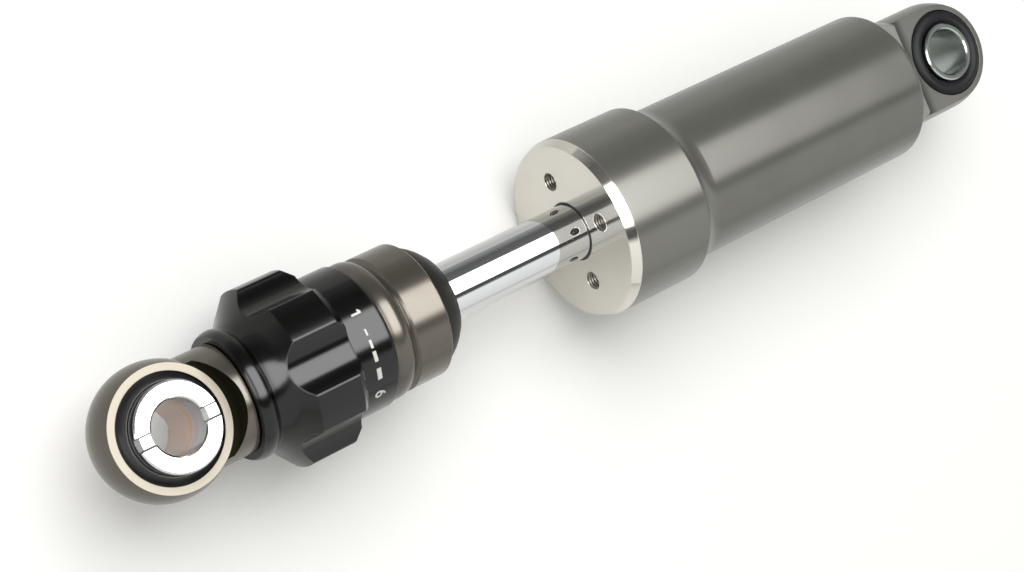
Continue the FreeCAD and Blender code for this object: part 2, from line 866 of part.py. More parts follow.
def build():
    """Every sub-part, by the name of its node."""
    piston_top_x = stack_stations()[1]
    piston_end_x = stack_stations()[2]
    return {
        "upper_eye": make_upper_eye(),
        "upper_bush_rubber": make_upper_bush_rubber(),
        "upper_bush_sleeve": make_sleeve(upper_sleeve_r, upper_sleeve_length, 0),
        "damper_body": make_damper_body(),
        "end_cap": make_end_cap(),
        "wiper_seal": make_wiper_seal(),
        "rod_seal": make_rod_seal(),
        "rod_guide": make_rod_guide(),
        "guide_bush": make_guide_bush(),
        "guide_o_ring": make_guide_o_ring(),
        "piston_rod": make_piston_rod(),
        "top_out_bumper": make_top_out_bumper(),
        "top_out_plate": make_top_out_plate(),
        "compression_shims": make_shims(piston_top_x, 1),
        "piston": make_piston(),
        "piston_band": make_piston_band(),
        "rebound_shims": make_shims(piston_end_x, -1),
        "support_washer": make_support_washer(),
        "piston_nut": make_piston_nut(),
        "gas_piston": make_gas_piston(),
        "gas_piston_o_ring": make_gas_piston_o_ring(),
        "stop_ring": make_stop_ring(),
        "rod_collar": make_rod_collar(),
        "detent_balls": make_detent_balls(),
        "detent_springs": make_detent_springs(),
        "adjuster_knob": make_adjuster_knob(),
        "knob_front_o_ring": make_knob_o_ring(front_ring_x, knob_spigot_r),
        "knob_rear_o_ring": make_knob_o_ring(rear_ring_x, shank_r),
        "adjuster_pin": make_adjuster_pin(),
        "push_rod": make_push_rod(),
        "metering_needle": make_metering_needle(),
        "needle_o_ring": make_needle_o_ring(),
        "lower_eye": make_lower_eye(),
        "lower_bush_rubber": make_lower_bush_rubber(),
        "lower_bush_sleeve": make_lower_bush_sleeve(),
    }


os.makedirs("parts", exist_ok=True)
for name, shape in build().items():
    shape.exportStep("parts/" + name + ".step")
    print(name, len(shape.Solids), round(shape.Volume, 1), shape.isValid())
print("exposed rod", round(stop_x - cap_face_x, 2), "pin travel each way", round(pin_travel, 3))
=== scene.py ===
"""Looks for a spring-less damper with a rubber-bushed eye at each end.

The row frame, in metres: the damper lies along X, the upper eye's bolt axis is Z at the origin.
"""
import math

import bmesh
import bpy
from mathutils import Matrix, Vector


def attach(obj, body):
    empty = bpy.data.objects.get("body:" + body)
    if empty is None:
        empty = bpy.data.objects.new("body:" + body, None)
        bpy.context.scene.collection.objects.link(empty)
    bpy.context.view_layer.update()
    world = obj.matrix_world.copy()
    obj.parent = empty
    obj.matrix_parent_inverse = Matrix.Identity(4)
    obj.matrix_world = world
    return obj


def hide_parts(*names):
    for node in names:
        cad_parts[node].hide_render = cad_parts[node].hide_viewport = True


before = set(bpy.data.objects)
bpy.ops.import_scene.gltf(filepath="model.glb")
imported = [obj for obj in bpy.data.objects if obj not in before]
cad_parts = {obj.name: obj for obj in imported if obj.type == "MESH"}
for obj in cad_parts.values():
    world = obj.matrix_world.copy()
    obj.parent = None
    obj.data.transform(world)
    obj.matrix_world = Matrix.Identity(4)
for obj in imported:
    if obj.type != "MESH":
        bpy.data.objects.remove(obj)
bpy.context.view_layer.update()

MM = 0.001

# Places in the frame, in metres
lower_eye_x = 205.5 * MM
floor_z = -19.3 * MM

# Camera of the photograph
camera_place = (0.3486, -0.0300, 0.3813)
camera_right = (-0.7748, 0.3993, 0.4901)
camera_forward = (-0.5039, 0.0781, -0.8602)
camera_lens = 77.84
sensor_width = 36.0
clip_near = 0.01
clip_far = 20.0

# Studio that polished metal mirrors: angle about X from straight up, towards +Y, and its level
softbox_level = 7.6
studio = (
    (-180, 0.90),
    (-104, 0.52),
    (-86, 0.42),
    (-76, 0.28),
    (-64, 0.15),
    (-36, 0.20),
    (-31, softbox_level),
    (16, softbox_level),
    (20, 0.09),
    (33, 0.12),
    (39, 1.25),
    (92, 1.00),
    (135, 0.75),
    (180, 0.90),
)

# Where the softbox is weaker: its angles about X, stretches by the X part of a direction, and shares left
softbox_angles = (-36, 18)
softbox_blur = 0.01
far_end = (-0.65, -0.50)
far_end_share = 0.03
near_gap = (0.43, 0.62)
near_gap_blur = 0.05
near_gap_share = 0.14

# Even sky that lights matt surfaces, and the white that the camera sees round the part
sky_level = 0.54
sky_tone = (1.0, 0.997, 0.955)
white_level = 1.0
white = (1.0, 1.0, 1.0)

# Key lamp: lengths in metres, and leans towards -Y and towards +X in degrees
key_level = 0.84
key_target = (0.1, 0.0, 0.0)
key_distance = 0.70
key_length = 0.72
key_width = 0.62
key_lean_y = 26
key_lean_x = 4

# Floor: a little light of its own lifts it, less so in mirrors, which also show painted shade on its -Y side
floor_size = 4.0
floor_tones = ((0.95, 0.95, 0.9405), (0.9405, 0.9405, 0.931))
floor_speckle_scale = 40.0
floor_speckle_detail = 3.0
floor_lift = 0.06
floor_mirrored_lift = 0.02
floor_mirror_shade_y = (-60 * MM, 0.0)
floor_mirror_shade_share = 0.34
black = (0.0, 0.0, 0.0)

# Fine structure of metal, then of rubber and plastic: noise cells per metre, and levels of detail
turning_scale = 3800.0
grain_scale = 5200.0
cloud_scale = 90.0
moulded_scale = 2600.0
moulded_cloud_scale = 160.0
moulded_detail = 3.0
cloud_detail = 4.0

# Unevenness: stretches of the noise that count, and shares that they give tone and roughness
cloud_part = 0.6
mottle_stretch = (0.35, 0.65)
dust_stretch = (0.35, 0.7)
gloss_stretch = (0.3, 0.7)
metal_gloss_shares = (0.92, 1.08)
dull_gloss_shares = (0.85, 1.2)
dull_tone_shares = (0.85, 1.35)

# Specular levels, usual and on the knob, and the angle in degrees above which an edge is sharp
plain_gloss = 0.5
knob_sheen = 0.42
sharp_angle = 35

# Tones of the finishes, and of painted shade and light laid on some of them
gunmetal = (0.151, 0.1495, 0.134)
bronze = (0.125, 0.113, 0.095)
bare_ring = (0.74, 0.67, 0.56)
# Painted shade on the wall round the lower eye's spot face
spot_wall_painted_shade = (0.016, 0.016, 0.009)
# Painted shade in the corners of the upper eye's flats, and painted light on the neck's flats
flat_corner_painted_shade = (0.020, 0.020, 0.016)
neck_flat_painted_light = (0.24, 0.237, 0.22)
cap_aluminium = (0.67, 0.645, 0.59)
# Painted shade for the cut threads deep in the cap's pin holes
thread_painted_shade_tone = (0.24, 0.225, 0.20)
bare_aluminium = (0.62, 0.62, 0.61)
knob_black = (0.0012, 0.0012, 0.0010)
hard_chrome = (0.62, 0.63, 0.63)
machined_steel = (0.50, 0.50, 0.51)
plated_steel = (0.62, 0.62, 0.61)
# Painted shade on the edges and ends of the lower sleeve's slots
slot_dark_shade = (0.04, 0.04, 0.04)
slot_shade = (0.22, 0.23, 0.22)
zinc = (0.40, 0.435, 0.415)
zinc_face = (0.085, 0.092, 0.086)
sintered_bronze = (0.55, 0.40, 0.20)
moulded_rubber = (0.008, 0.008, 0.009)
seal_rubber = (0.016, 0.016, 0.016)
stop_black = (0.007, 0.007, 0.006)
band_green = (0.20, 0.27, 0.24)
scale_white = (0.66, 0.66, 0.64)

# Masks on the finishes, in millimetres: how soft their limits are
mask_blur = 0.02
flat_blur = 0.01

# Body: where its tube ends and its collar starts, in millimetres, and how the two differ
tube_end_x = 81.3
collar_start_x = 86.4
tube_metallic = 0.44
collar_metallic = 0.60
tube_shade = 0.96
collar_shade = 1.14

# Faces of the eyes with a bare ring, painted shade and painted light of their own: lengths in millimetres,
# and shares
lower_eye_metallic = 0.66
lower_face_z = 5.7
lower_face_slack = (-0.03, 0.06)
lower_ring_r = (10.5, 12.03)
lower_spot_r = (12.06, 13.12)
lower_spot_slack = -0.02
matt_more = 0.40
upper_eye_shade = 0.85
upper_face_z = 5.9
upper_neck_z = 6.9
upper_face_slack = 0.1
# Where painted shade darkens the flats' corners, and shares of painted shade and painted light
upper_corner_x = (8.7, 10.6)
upper_corner_shade_share = 0.9
upper_neck_light_share = 0.8
upper_sleeve_end_z = 7.0
upper_sleeve_slack = -0.04
upper_sleeve_duller = 0.2

# Slots and bore of the lower sleeve, in millimetres
sleeve_bore_r = 5.25
sleeve_bore_slack = 0.03
sleeve_outer_r = 8.60
sleeve_end_z = 10.0
slot_floor_z = 9.0
slot_floor_slack = 0.05
slot_half_width = 1.25
slot_line = 0.19
slot_end = 1.1
# Painted reflections in bands down the bore: heights in millimetres and their tones
bore_reflection_blur = 0.9
bore_painted_reflections = (
    (-sleeve_end_z, 1.0, (0.57, 0.45, 0.40)),
    (1.0, 3.4, (0.62, 0.39, 0.24)),
    (3.4, 6.8, (0.48, 0.41, 0.46)),
    (6.8, sleeve_end_z, (0.42, 0.45, 0.45)),
)

# Upper rubber bush, in millimetres: radii, height of its rim, and the bead on its face
lathe_steps = 128
upper_rubber_r = (6.60, 9.81)
upper_rubber_edge = 5.9
upper_rim_length = 0.5
upper_relief = 0.35
upper_relief_step = 0.08
bead_rise = 0.7
bead_root = 0.25
bead_gaps = (0.30, 0.14)
bead_steps = 20
bead_start = 0.06
bead_fullness = 0.7
mould_line = 0.05
upper_lip = (0.12, 0.2)
upper_lip_foot = 0.4

# Lower rubber bush, in millimetres: radii, heights of its rim and lip, and the curve between them
lower_rubber_r = (8.65, 10.49)
lower_rubber_edge = 4.9
lower_rubber_top = 6.9
lower_rim_length = 0.25
lower_rim_round = (0.08, 0.05)
lower_rim_width = 0.16
lip_width = 0.34
lip_flat = (0.24, 0.10)
lip_round = 0.12
lip_steps = 12
lip_power = 1.5

# Scale on the knob's skirt, in millimetres and degrees about X
skirt_r = 14.7
scale_x = 166.45
paint_rise = 0.035
mark_angles = (-3.8, 5.5, 15.2, 29.4)
mark_lengths = (1.30, 1.65, 2.10, 2.40)
mark_widths = (0.40, 0.55, 0.77, 1.00)
mark_steps = 6
digit_angles = (-19.7, 48.0)
digit_height = 2.5
digit_stroke = 0.42

# Digit 1: its stem's place across, and its flag as points across and below the top
stem_across = 0.15
stem_steps = 4
flag_points = ((0.10, 0.02), (-0.20, 0.30), (-0.52, 0.52))

# Digit 6: its loop and its tail, each with the angles that it runs between
loop_r = 0.62
loop_angles = (180, 540)
loop_steps = 28
tail_angles = (180, 100)
tail_steps = 12

# Threads in the cap's pin holes, in millimetres, with shares of the pitch
hole_r = 1.95
hole_circle_r = 10.98
hole_mouth_x = 107.15
hole_depth = 3.0
hole_count = 4
thread_pitch = 0.6
thread_depth = 0.26
thread_root = 0.05
thread_start_share = 0.55
thread_half_share = 0.42
thread_steps = 32


class Graph:
    """Adds nodes to one node tree and joins them."""

    def __init__(self, tree):
        self.tree = tree
        tree.nodes.clear()

    def node(self, kind, **settings):
        """New node with the settings given."""
        made = self.tree.nodes.new("ShaderNode" + kind)
        for name, value in settings.items():
            setattr(made, name, value)
        return made

    def put(self, socket, value):
        """Joins an output to a socket, or sets the socket's own value."""
        if isinstance(value, bpy.types.NodeSocket):
            self.tree.links.new(value, socket)
        else:
            socket.default_value = value

    def math(self, operation, *values):
        """One function of numbers."""
        made = self.node("Math", operation=operation)
        for socket, value in zip(made.inputs, values):
            self.put(socket, value)
        return made.outputs[0]

    def times(self, first, *others):
        """Product of numbers."""
        for other in others:
            first = self.math("MULTIPLY", first, other)
        return first

    def plus(self, first, second):
        """Sum of two numbers."""
        return self.math("ADD", first, second)

    def rest(self, share):
        """What a share leaves of 1."""
        return self.math("SUBTRACT", 1.0, share)

    def mix(self, share, first, second):
        """Colour between two, by a share from 0 to 1; each is an output or a tone."""
        made = self.node("Mix", data_type="RGBA")
        colour_sockets = made.inputs[6:8]
        self.put(made.inputs[0], share)
        for socket, given in zip(colour_sockets, (first, second)):
            self.put(socket, given if isinstance(given, bpy.types.NodeSocket) else opaque(given))
        return made.outputs[2]

    def remap(self, value, low, high, to_low, to_high):
        """Value moved from one range to another, and kept inside it."""
        made = self.node("MapRange")
        for socket, given in zip(made.inputs, (value, low, high, to_low, to_high)):
            self.put(socket, given)
        return made.outputs[0]

    def noise(self, vector, scale, detail=2.0):
        """Noise in space, 0 to 1."""
        made = self.node("TexNoise")
        self.put(made.inputs["Vector"], vector)
        self.put(made.inputs["Scale"], scale)
        self.put(made.inputs["Detail"], detail)
        return made.outputs[0]

    def lines(self, distance, scale, detail=3.0):
        """Noise along one distance, 0 to 1."""
        made = self.node("TexNoise", noise_dimensions="1D")
        self.put(made.inputs["W"], distance)
        self.put(made.inputs["Scale"], scale)
        self.put(made.inputs["Detail"], detail)
        return made.outputs[0]

    def place(self):
        """The point's place in the row frame, in metres."""
        return self.node("TexCoord").outputs["Object"]

    def parts(self, vector):
        """The three numbers of a vector."""
        made = self.node("SeparateXYZ")
        self.put(made.inputs[0], vector)
        return made.outputs[0], made.outputs[1], made.outputs[2]

    def length(self, first, second):
        """Distance of a point from an axis."""
        return self.math("SQRT", self.plus(self.times(first, first), self.times(second, second)))

    def within(self, value, low, high, blur):
        """1 between two limits and 0 outside them, with a soft edge."""
        rise = self.remap(value, low - blur, low + blur, 0.0, 1.0)
        fall = self.remap(value, high - blur, high + blur, 1.0, 0.0)
        return self.times(rise, fall)

    def surface(self, shader):
        """Makes a shader the tree's result."""
        out = self.node("OutputMaterial")
        self.put(out.inputs["Surface"], shader.outputs[0])

    def seen(self, paths):
        """1 where the camera looks straight at something, or through glass at it."""
        return self.math("MAXIMUM", paths.outputs["Is Camera Ray"], paths.outputs["Is Transmission Ray"])


def opaque(tone):
    """Tone of three numbers as a colour of four."""
    return (*tone, 1.0)


def shaded(tone, share):
    """Tone made darker or lighter."""
    return tuple(min(channel * share, 1.0) for channel in tone)


def grey(level):
    """Neutral colour of four numbers."""
    return opaque((level, level, level))


def new_material(name):
    """Node material with an empty tree, and its graph."""
    material = bpy.data.materials.new(name)
    material.use_nodes = True
    return material, Graph(material.node_tree)


def raise_surface(graph, shader, height, depth, normal=None):
    """Bumps a surface by a height map, over a normal of its own where one is given."""
    bump = graph.node("Bump")
    bump.inputs["Strength"].default_value = 1.0
    bump.inputs["Distance"].default_value = depth
    graph.put(bump.inputs["Height"], height)
    if normal is not None:
        graph.put(bump.inputs["Normal"], normal)
    graph.put(shader.inputs["Normal"], bump.outputs[0])


def turned_distance(graph, centre_x=None):
    """Distance along a turned surface: about X, or about the bolt axis at centre_x."""
    x, y, z = graph.parts(graph.place())
    if centre_x is None:
        return graph.plus(x, graph.length(y, z))
    return graph.plus(z, graph.length(graph.math("SUBTRACT", x, centre_x), y))


def metal(name, tone, metallic, roughness, line_share=0.5, depth=2.0e-6, edge=0.25, mottle=0.06,
          axis_x=None):
    """Metal with turning lines, fine grain, soft edges and a little unevenness in tone and gloss.

    Returns the material, its graph and its shader, for a finish that adds more.
    """
    material, graph = new_material(name)
    place = graph.place()
    lines = graph.lines(turned_distance(graph, axis_x), turning_scale)
    grain = graph.noise(place, grain_scale)
    cloud = graph.noise(place, cloud_scale, cloud_detail)
    height = graph.plus(graph.times(lines, line_share), graph.times(grain, 1.0 - line_share))
    shader = graph.node("BsdfPrincipled")
    shader.inputs["Metallic"].default_value = metallic
    share = graph.remap(cloud, *mottle_stretch, 0.0, 1.0)
    skin = graph.mix(share, shaded(tone, 1 - mottle), shaded(tone, 1 + mottle))
    graph.put(shader.inputs["Base Color"], skin)
    uneven = graph.plus(graph.times(cloud, cloud_part), graph.times(height, 1.0 - cloud_part))
    smooth, rough = [roughness * share for share in metal_gloss_shares]
    graph.put(shader.inputs["Roughness"], graph.remap(uneven, *gloss_stretch, smooth, rough))
    soft_edge = graph.node("Bevel", samples=4)
    soft_edge.inputs["Radius"].default_value = edge * MM
    raise_surface(graph, shader, height, depth, soft_edge.outputs[0])
    graph.surface(shader)
    return material, graph, shader


def dull(name, tone, roughness, depth=3.0e-6, gloss=plain_gloss):
    """Rubber or plastic with fine moulded grain and a trace of dust."""
    material, graph = new_material(name)
    place = graph.place()
    grain = graph.noise(place, moulded_scale, moulded_detail)
    cloud = graph.noise(place, moulded_cloud_scale, cloud_detail)
    shader = graph.node("BsdfPrincipled")
    shader.inputs["Specular IOR Level"].default_value = gloss
    dust = graph.remap(cloud, *dust_stretch, 0.0, 1.0)
    clean, dusty = [shaded(tone, share) for share in dull_tone_shares]
    graph.put(shader.inputs["Base Color"], graph.mix(dust, clean, dusty))
    smooth, rough = [roughness * share for share in dull_gloss_shares]
    graph.put(shader.inputs["Roughness"], graph.remap(cloud, *gloss_stretch, smooth, rough))
    raise_surface(graph, shader, grain, depth)
    graph.surface(shader)
    return material


def recolour(graph, shader, mask, tone):
    """Lays a second tone over the shader's own colour where a mask is 1."""
    skin = shader.inputs["Base Color"].links[0].from_socket
    graph.put(shader.inputs["Base Color"], graph.mix(mask, skin, tone))


def roughen(graph, shader, mask, more):
    """Makes the shader rougher by a fixed amount where a mask is 1."""
    uneven = shader.inputs["Roughness"].links[0].from_socket
    graph.put(shader.inputs["Roughness"], graph.plus(uneven, graph.times(mask, more)))


def make_body_finish():
    """Satin gunmetal anodising, a little brighter on the collar than on the tube."""
    tube_tone = shaded(gunmetal, tube_shade)
    material, graph, shader = metal("body_satin", tube_tone, metallic=tube_metallic, roughness=0.25,
                                    line_share=0.25, depth=1.3e-6, mottle=0.03)
    x, y, z = graph.parts(graph.place())
    start = tube_end_x * MM
    end = collar_start_x * MM
    graph.put(shader.inputs["Metallic"], graph.remap(x, start, end, tube_metallic, collar_metallic))
    recolour(graph, shader, graph.remap(x, start, end, 0.0, 1.0), shaded(gunmetal, collar_shade))
    return material


def make_bronze_finish():
    """Satin bronze-grey anodising."""
    return metal("bronze_satin", bronze, metallic=0.66, roughness=0.22, depth=1.2e-6)[0]


def make_lower_eye_finish():
    """Bronze-grey anodising, a bare matt ring on each flat and painted shade on the wall round the spot face.
    """
    material, graph, shader = metal("lower_eye_satin", bronze, metallic=lower_eye_metallic, roughness=0.24,
                                    depth=1.4e-6)
    x, y, z = graph.parts(graph.place())
    from_bolt = graph.length(graph.math("SUBTRACT", x, lower_eye_x), y)
    height = graph.math("ABSOLUTE", z)
    flat_low, flat_high = [(lower_face_z + slack) * MM for slack in lower_face_slack]
    on_flat = graph.within(height, flat_low, flat_high, flat_blur * MM)
    ring_inner, ring_outer = [r * MM for r in lower_ring_r]
    in_ring = graph.within(from_bolt, ring_inner, ring_outer, mask_blur * MM)
    bare = graph.times(on_flat, in_ring)
    # Painted shade on the wall round the spot face
    above = graph.math("GREATER_THAN", height, (lower_face_z + lower_spot_slack) * MM)
    wall_inner, wall_outer = [r * MM for r in lower_spot_r]
    wall = graph.within(from_bolt, wall_inner, wall_outer, mask_blur * MM)
    dark = graph.times(above, wall)
    recolour(graph, shader, bare, bare_ring)
    recolour(graph, shader, dark, spot_wall_painted_shade)
    matt = graph.math("MAXIMUM", bare, dark)
    plain = graph.rest(matt)
    graph.put(shader.inputs["Metallic"], graph.times(plain, lower_eye_metallic))
    glossy = graph.math("MAXIMUM", plain, bare)
    graph.put(shader.inputs["Specular IOR Level"], graph.times(glossy, plain_gloss))
    roughen(graph, shader, matt, matt_more)
    return material


def make_upper_eye_finish():
    """Satin gunmetal like the body, with painted shade in the corner of each flat and painted light on the
    neck's flats.
    """
    tone = shaded(gunmetal, upper_eye_shade)
    material, graph, shader = metal("upper_eye_satin", tone, metallic=0.40, roughness=0.25, line_share=0.35,
                                    depth=1.6e-6)
    x, y, z = graph.parts(graph.place())
    height = graph.math("ABSOLUTE", z)
    on_face, on_neck = [
        graph.within(height, (level - upper_face_slack) * MM, (level + upper_face_slack) * MM, mask_blur * MM)
        for level in (upper_face_z, upper_neck_z)
    ]
    # Painted shade darkens each flat towards its corner; painted light brightens the neck's flats
    corner_from, corner_to = [place * MM for place in upper_corner_x]
    corner = graph.remap(x, corner_from, corner_to, 0.0, upper_corner_shade_share)
    recolour(graph, shader, graph.times(on_face, corner), flat_corner_painted_shade)
    recolour(graph, shader, graph.times(on_neck, upper_neck_light_share), neck_flat_painted_light)
    return material


def make_cap_finish():
    """Polished aluminium with fine facing rings."""
    return metal("cap_bright", cap_aluminium, metallic=1.0, roughness=0.10, line_share=0.8, depth=0.6e-6,
                 mottle=0.02)[0]


def make_thread_finish():
    """Dull aluminium of the cut threads, darkened by painted shade."""
    return metal("thread_painted_shade", thread_painted_shade_tone, metallic=0.8, roughness=0.30, line_share=0.3,
                 mottle=0.15)[0]


def make_inner_finish():
    """Machined aluminium, left bare."""
    return metal("inner_bare", bare_aluminium, metallic=1.0, roughness=0.30, line_share=0.8,
                 depth=3.0e-6)[0]


def make_knob_finish():
    """Gloss black anodising."""
    material, graph, shader = metal("knob_gloss", knob_black, metallic=0.0, roughness=0.15, line_share=0.3,
                                    depth=0.2e-6, edge=0.45, mottle=0.1)
    shader.inputs["Specular IOR Level"].default_value = knob_sheen
    return material


def make_chrome_finish():
    """Hard chrome, ground and polished."""
    return metal("rod_hard_chrome", hard_chrome, metallic=1.0, roughness=0.045, line_share=0.9,
                 depth=0.12e-6, edge=0.15, mottle=0.01)[0]


def make_steel_finish():
    """Machined steel."""
    return metal("steel_machined", machined_steel, metallic=1.0, roughness=0.26, line_share=0.7)[0]


def slot_masks(graph, x, y, height, from_bolt):
    """Masks of the painted shade in the lower sleeve's slots: their edges, their outer end and their inner
    end.
    """
    past_bore = (sleeve_bore_r + sleeve_bore_slack) * MM
    on_face = graph.math("GREATER_THAN", height, (slot_floor_z - slot_floor_slack) * MM)
    across = graph.math("GREATER_THAN", from_bolt, past_bore)
    side_from = (slot_half_width - slot_line) * MM
    side_to = (slot_half_width + slot_line) * MM
    side = graph.within(graph.math("ABSOLUTE", y), side_from, side_to, mask_blur * MM)
    edges = graph.times(on_face, across, side)
    on_floor = graph.times(on_face, graph.math("LESS_THAN", height, (slot_floor_z + slot_floor_slack) * MM))
    outward = graph.math("GREATER_THAN", x, lower_eye_x)
    outer = graph.math("GREATER_THAN", from_bolt, (sleeve_outer_r - slot_end) * MM)
    inner = graph.math("LESS_THAN", from_bolt, (sleeve_bore_r + slot_end) * MM)
    outer_end = graph.times(on_floor, outward, outer)
    inner_end = graph.times(on_floor, graph.rest(outward), inner)
    return edges, outer_end, inner_end


def make_lower_sleeve_finish():
    """Bright plated sleeve: slots with painted shade on their edges and ends, and painted reflections in
    bands down the bore.
    """
    material, graph, shader = metal("sleeve_bright", plated_steel, metallic=1.0, roughness=0.14,
                                    line_share=0.8, depth=0.6e-6, mottle=0.02, axis_x=lower_eye_x)
    x, y, z = graph.parts(graph.place())
    from_bolt = graph.length(graph.math("SUBTRACT", x, lower_eye_x), y)
    # Painted reflections in bands down the bore
    bore = graph.math("LESS_THAN", from_bolt, (sleeve_bore_r + sleeve_bore_slack) * MM)
    for low, high, tone in bore_painted_reflections:
        band = graph.within(z, low * MM, high * MM, bore_reflection_blur * MM)
        recolour(graph, shader, graph.times(bore, band), tone)
    # Painted shade on the slots' edges and ends
    edges, outer_end, inner_end = slot_masks(graph, x, y, graph.math("ABSOLUTE", z), from_bolt)
    recolour(graph, shader, edges, slot_dark_shade)
    recolour(graph, shader, outer_end, slot_dark_shade)
    recolour(graph, shader, inner_end, slot_shade)
    painted = graph.math("MAXIMUM", edges, graph.math("MAXIMUM", outer_end, inner_end))
    graph.put(shader.inputs["Metallic"], graph.rest(painted))
    return material


def make_upper_sleeve_finish():
    """Zinc-plated tube with a grey-green cast and a duller face at each end."""
    material, graph, shader = metal("sleeve_zinc", zinc, metallic=1.0, roughness=0.22, line_share=0.7,
                                    depth=1.2e-6, edge=0.08, mottle=0.08, axis_x=0.0)
    x, y, z = graph.parts(graph.place())
    end_z = (upper_sleeve_end_z + upper_sleeve_slack) * MM
    face = graph.math("GREATER_THAN", graph.math("ABSOLUTE", z), end_z)
    recolour(graph, shader, face, zinc_face)
    roughen(graph, shader, face, upper_sleeve_duller)
    return material


def make_bronze_bush_finish():
    """Sintered bronze."""
    return metal("bush_sintered", sintered_bronze, metallic=1.0, roughness=0.35, line_share=0.2,
                 depth=4.0e-6)[0]


def make_rubber_finish(name, gloss):
    """Black moulded rubber, with the strength of its sheen."""
    return dull(name, moulded_rubber, roughness=0.45, depth=5.0e-6, gloss=gloss)


def make_seal_finish():
    """Smooth seal rubber."""
    return dull("rubber_seal", seal_rubber, roughness=0.35)


def make_stop_finish():
    """Satin black stop ring."""
    return dull("stop_satin", stop_black, roughness=0.42, depth=2.0e-6, gloss=0.18)


def make_band_finish():
    """Grey-green wear band."""
    return dull("band_polymer", band_green, roughness=0.5)


def make_paint_finish():
    """White paint of the scale."""
    return dull("scale_paint", scale_white, roughness=0.5, depth=1.0e-6)


def dress_nodes():
    """Gives each solid the finish of its slot, or its own."""
    finishes = {
        "body_anodised": make_body_finish(),
        "eye_anodised": make_bronze_finish(),
        "cap_polished": make_cap_finish(),
        "inner_aluminium": make_inner_finish(),
        "knob_black": make_knob_finish(),
        "rod_chrome": make_chrome_finish(),
        "steel": make_steel_finish(),
        "sleeve_steel": make_lower_sleeve_finish(),
        "bush_bronze": make_bronze_bush_finish(),
        "rubber": make_rubber_finish("rubber_moulded", gloss=0.15),
        "seal_rubber": make_seal_finish(),
        "stop_plastic": make_stop_finish(),
        "band_plastic": make_band_finish(),
    }
    own = {
        "lower_eye": make_lower_eye_finish(),
        "upper_eye": make_upper_eye_finish(),
        "upper_bush_sleeve": make_upper_sleeve_finish(),
    }
    for name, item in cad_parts.items():
        for slot in item.material_slots:
            slot.material = own.get(name) or finishes[slot.material.name.split(".")[0]]
    return finishes


def add_object(name, data):
    """Object of a mesh, a lamp or a camera, in the scene."""
    item = bpy.data.objects.new(name, data)
    bpy.context.scene.collection.objects.link(item)
    return item


def add_mesh(name, shape, material, body):
    """Object from a bmesh, with its material, body and the record's slot."""
    mesh = bpy.data.meshes.new(name)
    bmesh.ops.recalc_face_normals(shape, faces=shape.faces)
    shape.to_mesh(mesh)
    shape.free()
    mesh.materials.append(material)
    mesh.shade_smooth()
    mesh.set_sharp_from_angle(angle=math.radians(sharp_angle))
    item = add_object(name, mesh)
    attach(item, body)
    return item


def join_loops(shape, first, second):
    """Faces between two closed loops with the same number of corners."""
    for j in range(len(first)):
        k = (j + 1) % len(first)
        shape.faces.new((first[j], first[k], second[k], second[j]))


def join_rows(shape, rows):
    """Closed bar through rows of corners, with a face at each end."""
    for row, following in zip(rows, rows[1:]):
        join_loops(shape, row, following)
    shape.faces.new(rows[0])
    shape.faces.new(rows[-1])


def lathe(half, centre_x):
    """Ring about a bolt axis, from half its outline as (height, radius) in millimetres.

    The half runs from the middle plane's outer radius over the face to the middle plane's inner radius.
    """
    outline = half + [(-height, r) for height, r in reversed(half[1:-1])]
    shape = bmesh.new()
    loops = []
    for i in range(lathe_steps):
        turn = math.tau * i / lathe_steps
        loops.append([
            shape.verts.new((centre_x + r * MM * math.cos(turn), r * MM * math.sin(turn), height * MM))
            for height, r in outline
        ])
    for i, loop in enumerate(loops):
        join_loops(shape, loop, loops[(i + 1) % lathe_steps])
    return shape


def make_upper_rubber(finish):
    """Bush with a rounded bead on each face, a fine mould line on its crown and a relief at its rim."""
    inner, outer = upper_rubber_r
    foot = upper_rubber_edge - upper_relief
    bead_inner = inner + bead_gaps[0]
    bead_outer = outer - bead_gaps[1]
    bead_height = bead_rise + bead_root
    half = [(0.0, outer), (upper_rubber_edge - upper_rim_length, outer), (foot, outer - upper_relief_step)]
    for i in range(bead_steps + 1):
        share = i / bead_steps
        crown = math.sin(math.pi * (bead_start + (1 - 2 * bead_start) * share)) ** bead_fullness
        line = mould_line if i == bead_steps // 2 else 0.0
        half.append((foot + bead_height * crown + line, bead_outer + (bead_inner - bead_outer) * share))
    half.append((upper_rubber_edge - upper_lip[1], inner + upper_lip[0]))
    half.append((upper_rubber_edge - upper_lip_foot, inner))
    half.append((0.0, inner))
    item = add_mesh("upper_bush_moulded", lathe(half, 0.0), finish, "body")
    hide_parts("upper_bush_rubber")


def make_lower_rubber(finish):
    """Bush whose face dips at the rim and rises in a curve to a lip round the sleeve."""
    inner, outer = lower_rubber_r
    low = lower_rubber_edge
    shoulder = lower_rubber_top - lip_round
    rim_r = outer - lower_rim_width
    lip_r = inner + lip_width
    half = [
        (0.0, outer),
        (low - lower_rim_length, outer),
        (low - lower_rim_round[0], outer - lower_rim_round[1]),
        (low, rim_r),
    ]
    for i in range(1, lip_steps + 1):
        share = i / lip_steps
        half.append((low + (shoulder - low) * share ** lip_power, rim_r + (lip_r - rim_r) * share))
    for step in lip_flat:
        half.append((lower_rubber_top, inner + step))
    half.append((shoulder, inner))
    half.append((0.0, inner))
    item = add_mesh("lower_bush_moulded", lathe(half, lower_eye_x), finish, "rod")
    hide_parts("lower_bush_rubber")


def on_skirt(across, along, angle, rise):
    """Point on the skirt: across runs round it from an angle, along runs towards the rod."""
    turn = math.radians(angle) + across / skirt_r
    r = (skirt_r + rise) * MM
    return Vector(((scale_x - along) * MM, r * math.sin(turn), r * math.cos(turn)))


